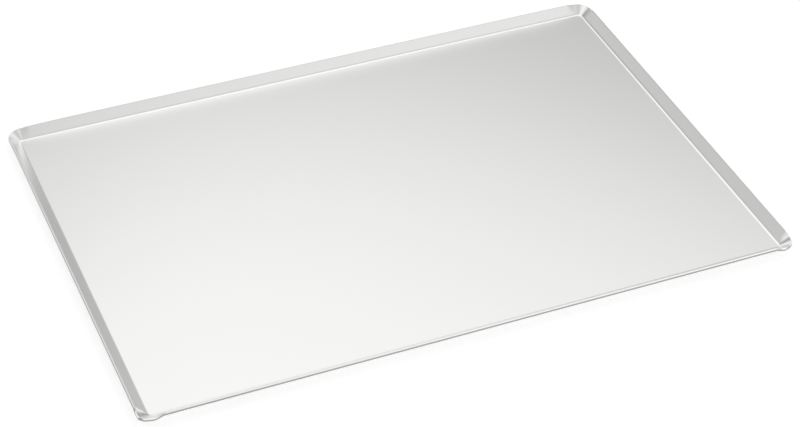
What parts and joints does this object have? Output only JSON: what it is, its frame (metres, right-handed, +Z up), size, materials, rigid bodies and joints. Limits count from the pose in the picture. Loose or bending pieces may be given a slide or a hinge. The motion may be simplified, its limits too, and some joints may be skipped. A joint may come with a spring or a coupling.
{
  "type": "cookie sheet",
  "caption": "Flat rectangular baking sheet pressed from one piece of bare aluminium, with a low rim that leans outwards on all four sides and rounded, drawn corners.",
  "frame": {"origin": "centre of the underside of the flat floor, at the lowest plane of the sheet", "axes": "+X along the long sides, +Y along the short sides, +Z up, out of the open side of the tray"},
  "size_m": [0.432, 0.305, 0.0082],
  "materials": {
    "bare_aluminium": "rolled, satin, uncoated"
  },
  "bodies": {
    "root": {"pressed_sheet": "bare_aluminium"}
  },
  "joints": []
}
